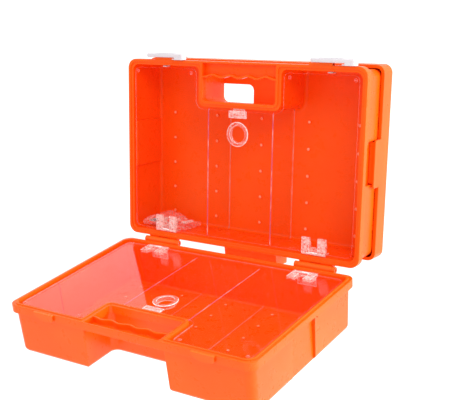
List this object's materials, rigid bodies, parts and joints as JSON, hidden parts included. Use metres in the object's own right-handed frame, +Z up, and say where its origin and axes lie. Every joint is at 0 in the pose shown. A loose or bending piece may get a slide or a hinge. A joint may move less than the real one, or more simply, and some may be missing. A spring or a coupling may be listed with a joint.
{
  "type": "first aid kit",
  "caption": "Hard plastic first aid case hung open in a wall bracket: hinged half shells with carrying grips, clear hinged cover plates, dividers and sliding latches.",
  "frame": {"origin": "centre of the wall bracket's back face, where it meets the wall", "axes": "+Z up, +Y into the wall, the case opens towards -Y, +X to the right as seen from the front"},
  "size_m": [0.4, 0.361, 0.4087],
  "materials": {
    "case_plastic": "orange ABS, satin gloss",
    "bracket_plastic": "orange ABS, satin gloss",
    "clear_plastic": "clear polished plastic",
    "latch_plastic": "white translucent nylon",
    "grey_plastic": "smoky grey plastic",
    "bag_film": "thin clear film",
    "pin_steel": "bright drawn steel"
  },
  "bodies": {
    "rear_case": {"wall_bracket": "bracket_plastic", "rear_shell": "case_plastic", "left_lid_hinge_pin": "pin_steel", "right_lid_hinge_pin": "pin_steel", "rear_left_cover_hinge_base": "clear_plastic", "rear_left_cover_hinge_pin": "clear_plastic", "rear_left_divider": "clear_plastic", "rear_right_cover_hinge_base": "clear_plastic", "rear_right_cover_hinge_pin": "clear_plastic", "rear_right_divider": "clear_plastic", "parts_bag": "bag_film", "spare_clip_1": "grey_plastic", "spare_clip_2": "clear_plastic", "spare_clip_3": "clear_plastic", "spare_clip_4": "clear_plastic", "spare_clip_5": "clear_plastic", "spare_clip_6": "clear_plastic"},
    "front_case": {"front_shell": "case_plastic", "front_left_cover_hinge_base": "clear_plastic", "front_left_cover_hinge_pin": "clear_plastic", "front_left_divider": "clear_plastic", "front_right_cover_hinge_base": "clear_plastic", "front_right_cover_hinge_pin": "clear_plastic", "front_right_divider": "clear_plastic"},
    "rear_cover": {"rear_cover_plate": "clear_plastic", "rear_finger_ring": "clear_plastic", "rear_left_cover_hinge_leaf": "clear_plastic", "rear_right_cover_hinge_leaf": "clear_plastic"},
    "rear_cover_latch": {"rear_cover_latch": "clear_plastic"},
    "front_cover": {"front_cover_plate": "clear_plastic", "front_finger_ring": "clear_plastic", "front_left_cover_hinge_leaf": "clear_plastic", "front_right_cover_hinge_leaf": "clear_plastic"},
    "front_cover_latch": {"front_cover_latch": "clear_plastic"},
    "left_case_latch": {"left_case_latch": "latch_plastic"},
    "right_case_latch": {"right_case_latch": "latch_plastic"}
  },
  "joints": [
    {"name": "lid_hinge", "type": "hinge", "parent": "rear_case", "child": "front_case", "pos_m": [0, -0.08, -0.144], "axis": [-1, 0, 0], "range_deg": [0, 99.35]},
    {"name": "rear_cover_hinge", "type": "hinge", "parent": "rear_case", "child": "rear_cover", "pos_m": [0, -0.077, -0.1258], "axis": [-1, 0, 0], "range_deg": [-55, 0]},
    {"name": "front_cover_hinge", "type": "hinge", "parent": "front_case", "child": "front_cover", "pos_m": [0, -0.09747, -0.14992], "axis": [1, 0, 0], "range_deg": [-48, 0]},
    {"name": "rear_cover_latch_slide", "type": "slide", "parent": "rear_cover", "child": "rear_cover_latch", "axis": [0, 0, 1], "range_m": [0, 0.003]},
    {"name": "front_cover_latch_slide", "type": "slide", "parent": "front_cover", "child": "front_cover_latch", "axis": [0, -0.9867, -0.1625], "range_m": [0, 0.003]},
    {"name": "left_case_latch_slide", "type": "slide", "parent": "rear_case", "child": "left_case_latch", "axis": [-1, 0, 0], "range_m": [-0.0158, 0.0042]},
    {"name": "right_case_latch_slide", "type": "slide", "parent": "rear_case", "child": "right_case_latch", "axis": [-1, 0, 0], "range_m": [0, 0.02]}
  ]
}
